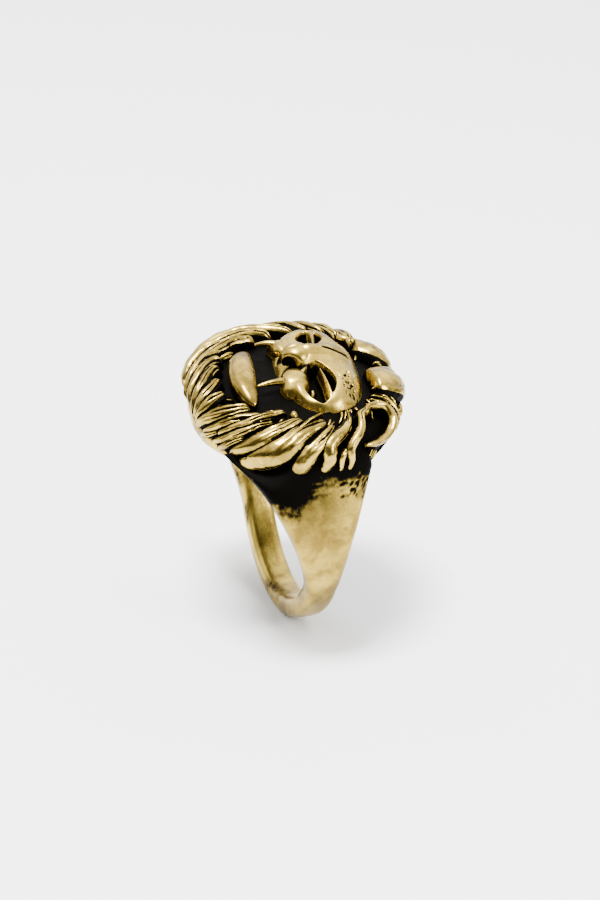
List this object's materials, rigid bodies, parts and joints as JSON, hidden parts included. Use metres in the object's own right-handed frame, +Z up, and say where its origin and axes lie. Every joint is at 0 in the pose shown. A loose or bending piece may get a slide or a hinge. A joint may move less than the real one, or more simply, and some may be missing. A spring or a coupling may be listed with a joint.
{
  "type": "finger ring",
  "caption": "Cast antique-brass finger ring whose domed head carries a roaring lion's face inside a mane of swept locks.",
  "frame": {"origin": "centre of the finger hole, halfway along it", "axes": "+Z up through the lion's face, +Y along the finger axis towards the forehead, +X towards the lion's left"},
  "size_m": [0.0234, 0.0192, 0.0245],
  "materials": {
    "antique_brass": "satin antique brass, worn bright on the high spots and darker towards the recesses",
    "patina": "blackened recess, oxidised and matt"
  },
  "bodies": {
    "root": {"beard_lock_1": "antique_brass", "beard_lock_2": "antique_brass", "beard_lock_3": "antique_brass", "beard_lock_4": "antique_brass", "beard_lock_5": "antique_brass", "cheek_lock_left": "antique_brass", "cheek_lock_right": "antique_brass", "crown_lock_left": "antique_brass", "crown_lock_right": "antique_brass", "ear_left": "antique_brass", "ear_right": "antique_brass", "eye_left": "antique_brass", "eye_right": "antique_brass", "face": "antique_brass", "fang_left": "antique_brass", "fang_right": "antique_brass", "head_base": "patina", "jowl_lock_left": "antique_brass", "jowl_lock_right": "antique_brass", "lower_cheek_lock_left": "antique_brass", "lower_cheek_lock_right": "antique_brass", "lower_chin_lock_left": "antique_brass", "lower_chin_lock_right": "antique_brass", "lower_jaw": "antique_brass", "muzzle_left": "antique_brass", "muzzle_right": "antique_brass", "nape_lock_left": "antique_brass", "nape_lock_right": "antique_brass", "nose": "antique_brass", "shank": "antique_brass", "temple_lock_left": "antique_brass", "temple_lock_right": "antique_brass", "upper_cheek_lock_left": "antique_brass", "upper_cheek_lock_right": "antique_brass", "upper_chin_lock_left": "antique_brass", "upper_chin_lock_right": "antique_brass", "whisker_lock_left": "antique_brass", "whisker_lock_right": "antique_brass"}
  },
  "joints": []
}
